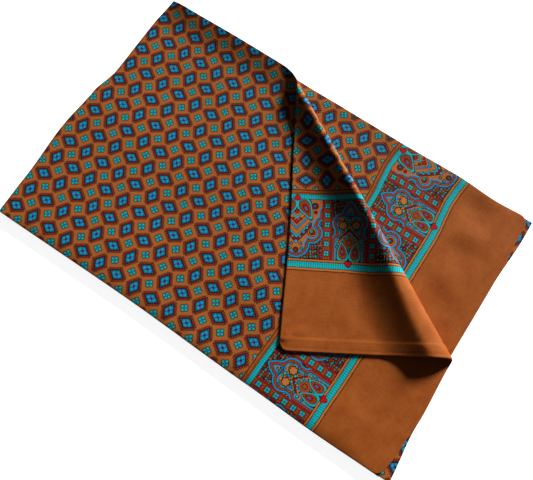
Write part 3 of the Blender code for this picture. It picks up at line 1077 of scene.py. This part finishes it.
def makePrint():
    material = bpy.data.materials.new("printedCloth")
    material.use_nodes = True
    tree = material.node_tree
    shader = tree.nodes["Principled BSDF"]
    shader.inputs["Roughness"].default_value = weave["roughness"]
    shader.inputs["Specular IOR Level"].default_value = weave["gloss"]
    shader.inputs["Specular Tint"].default_value = weave["glossTint"]
    field = Wire.node(tree, "UVMap", {"uv_map": "field"})
    border = Wire.node(tree, "UVMap", {"uv_map": "border"})
    most = weave["waver"]
    waver = cloud(border, *weave["waves"], 1)
    waver = waver.vector("MULTIPLY_ADD", waver, (most, most, 0), (-most / 2, -most / 2, 0))
    field = field.vector("ADD", field, waver)
    border = border.vector("ADD", border, waver)
    along, across = split(border)
    streaks = [
        border.make("TexNoise", None, {"Vector": border.vector("MULTIPLY", border, scale), "Scale": 1.0})
        for scale in weave["streaks"]
    ]
    slub = (streaks[0] + streaks[1] + streaks[2]) * weave["streakGain"] - weave["streakLevel"]
    grounds = {0: slub, 6: dyes["ground"], 7: dyes["groundDark"]}
    cloth = border.make("Mix", {"data_type": "RGBA"}, grounds, 2)
    fieldDyed = dyeField(cloth.dyed(weave["fieldShare"], dyes["fieldGround"]), field)
    cloth = cloth.dyed(along.within(layout["fieldEnd"]), fieldDyed)
    borderDyed = dyeBorder(cloth, border)
    cloth = cloth.dyed(along.near(*layout["border"]), borderDyed)
    cloth = dyeLines(cloth, along, layout["innerLines"])
    cloth = dyeStripe(cloth, along, across, *stripes["inner"])
    cloth = dyeLines(cloth, along, layout["borderEnd"])
    cloth = dyeStripe(cloth, along, across, *stripes["outer"])
    cloth = dyeLines(cloth, along, layout["outerLines"])
    cloth = dyeHearts(cloth, along, across)
    tree.links.new(cloth.socket, shader.inputs["Base Color"])
    # the threads, and the thicker ones among them
    lengthwise, crosswise = along * weave["threads"], across * weave["threads"]
    threads = lengthwise.maths("SINE", lengthwise) * crosswise.maths("SINE", crosswise)
    threads = threads * weave["threadShare"] + slub
    raised = {"Strength": weave["bumpStrength"], "Distance": weave["bumpHeight"], "Height": threads}
    bump = threads.make("Bump", None, raised)
    tree.links.new(bump.socket, shader.inputs["Normal"])
    return material


printedCloth = makePrint()
print("print dyed", len(printedCloth.node_tree.nodes))
for piece in (topCloth, lowerCloth):
    piece.data.materials.append(printedCloth)
    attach(piece, "root")
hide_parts("top_ply", "turned_corner")
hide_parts("second_ply", "hidden_layers")

# Camera at the photo's angle: the cloth's far corner points up the frame
camera = {
    "focal": 600 / 533,
    "elevation": math.radians(76.7),
    "azimuth": math.radians(-34.0),
    "shift": (-4.90, 2.92),  # this and the distance in repeats of the print
    "distance": 28.9,
    "sensor": 36,
}


def addCamera():
    tilt, turn = camera["elevation"], camera["azimuth"]
    right = Vector((1, 0, 0))
    up = Vector((0, math.sin(tilt), math.cos(tilt)))
    ahead = Vector((0, math.cos(tilt), -math.sin(tilt)))
    place = -camera["shift"][0] * right - camera["shift"][1] * up - camera["distance"] * ahead
    swing = Matrix.Rotation(-turn, 3, "Z")
    right, up, ahead, place = (swing @ each for each in (right, up, ahead, place))
    view = Matrix((right, up, -ahead)).transposed().to_4x4()
    zero = Vector((printPlace["alongZero"], printPlace["acrossZero"], 0))
    view.translation = (place - zero) * pile["repeat"] + Vector((0, 0, topLevel + halfPly))
    lens = bpy.data.cameras.new("camera")
    lens.sensor_width = camera["sensor"]
    lens.lens = camera["focal"] * camera["sensor"]
    lens.clip_start = 0.01
    lens.clip_end = 10
    eye = bpy.data.objects.new("camera", lens)
    bpy.context.collection.objects.link(eye)
    eye.matrix_world = view
    bpy.context.scene.camera = eye


lamps = {
    "keyTurn": 46,  # degrees from the photo's right towards its top
    "keyHeight": 19,
    "keyPower": 9.6,
    "keySoftness": 14,
    "room": 0.06,
}


def addLamps():
    turn = math.radians(lamps["keyTurn"]) - camera["azimuth"]
    tilt = math.radians(lamps["keyHeight"])
    way = Vector((math.cos(turn) * math.cos(tilt), math.sin(turn) * math.cos(tilt), math.sin(tilt)))
    lamp = bpy.data.lights.new("key", "SUN")
    lamp.energy = lamps["keyPower"]
    lamp.angle = math.radians(lamps["keySoftness"])
    lit = bpy.data.objects.new("key", lamp)
    bpy.context.collection.objects.link(lit)
    lit.location = way
    lit.rotation_euler = (-way).to_track_quat("-Z", "Y").to_euler()
    world = bpy.data.worlds.new("studio")
    bpy.context.scene.world = world
    world.use_nodes = True
    world.node_tree.nodes["Background"].inputs["Color"].default_value = (1, 1, 1, 1)
    world.node_tree.nodes["Background"].inputs["Strength"].default_value = lamps["room"]


floorPiece = {
    "size": 6,
    "shade": (0.95, 0.95, 0.95, 1),
    "roughness": 0.9,
    "light": (1, 1, 1, 1),
    "glow": 0.88,  # for the eye alone: none of it reaches the cloth
}


def addFloor():
    bpy.ops.mesh.primitive_plane_add(size=floorPiece["size"], location=(0, 0, 0))
    floor = bpy.context.object
    floor.name = "floor"
    paper = bpy.data.materials.new("paleFloor")
    paper.use_nodes = True
    shader = paper.node_tree.nodes["Principled BSDF"]
    shader.inputs["Base Color"].default_value = floorPiece["shade"]
    shader.inputs["Roughness"].default_value = floorPiece["roughness"]
    shader.inputs["Emission Color"].default_value = floorPiece["light"]
    shader.inputs["Emission Strength"].default_value = floorPiece["glow"]
    floor.data.materials.append(paper)
    floor.visible_diffuse = False
    floor.visible_glossy = False


addCamera()
addLamps()
addFloor()
bpy.context.scene.view_settings.view_transform = "Standard"
print("camera and lamps placed")
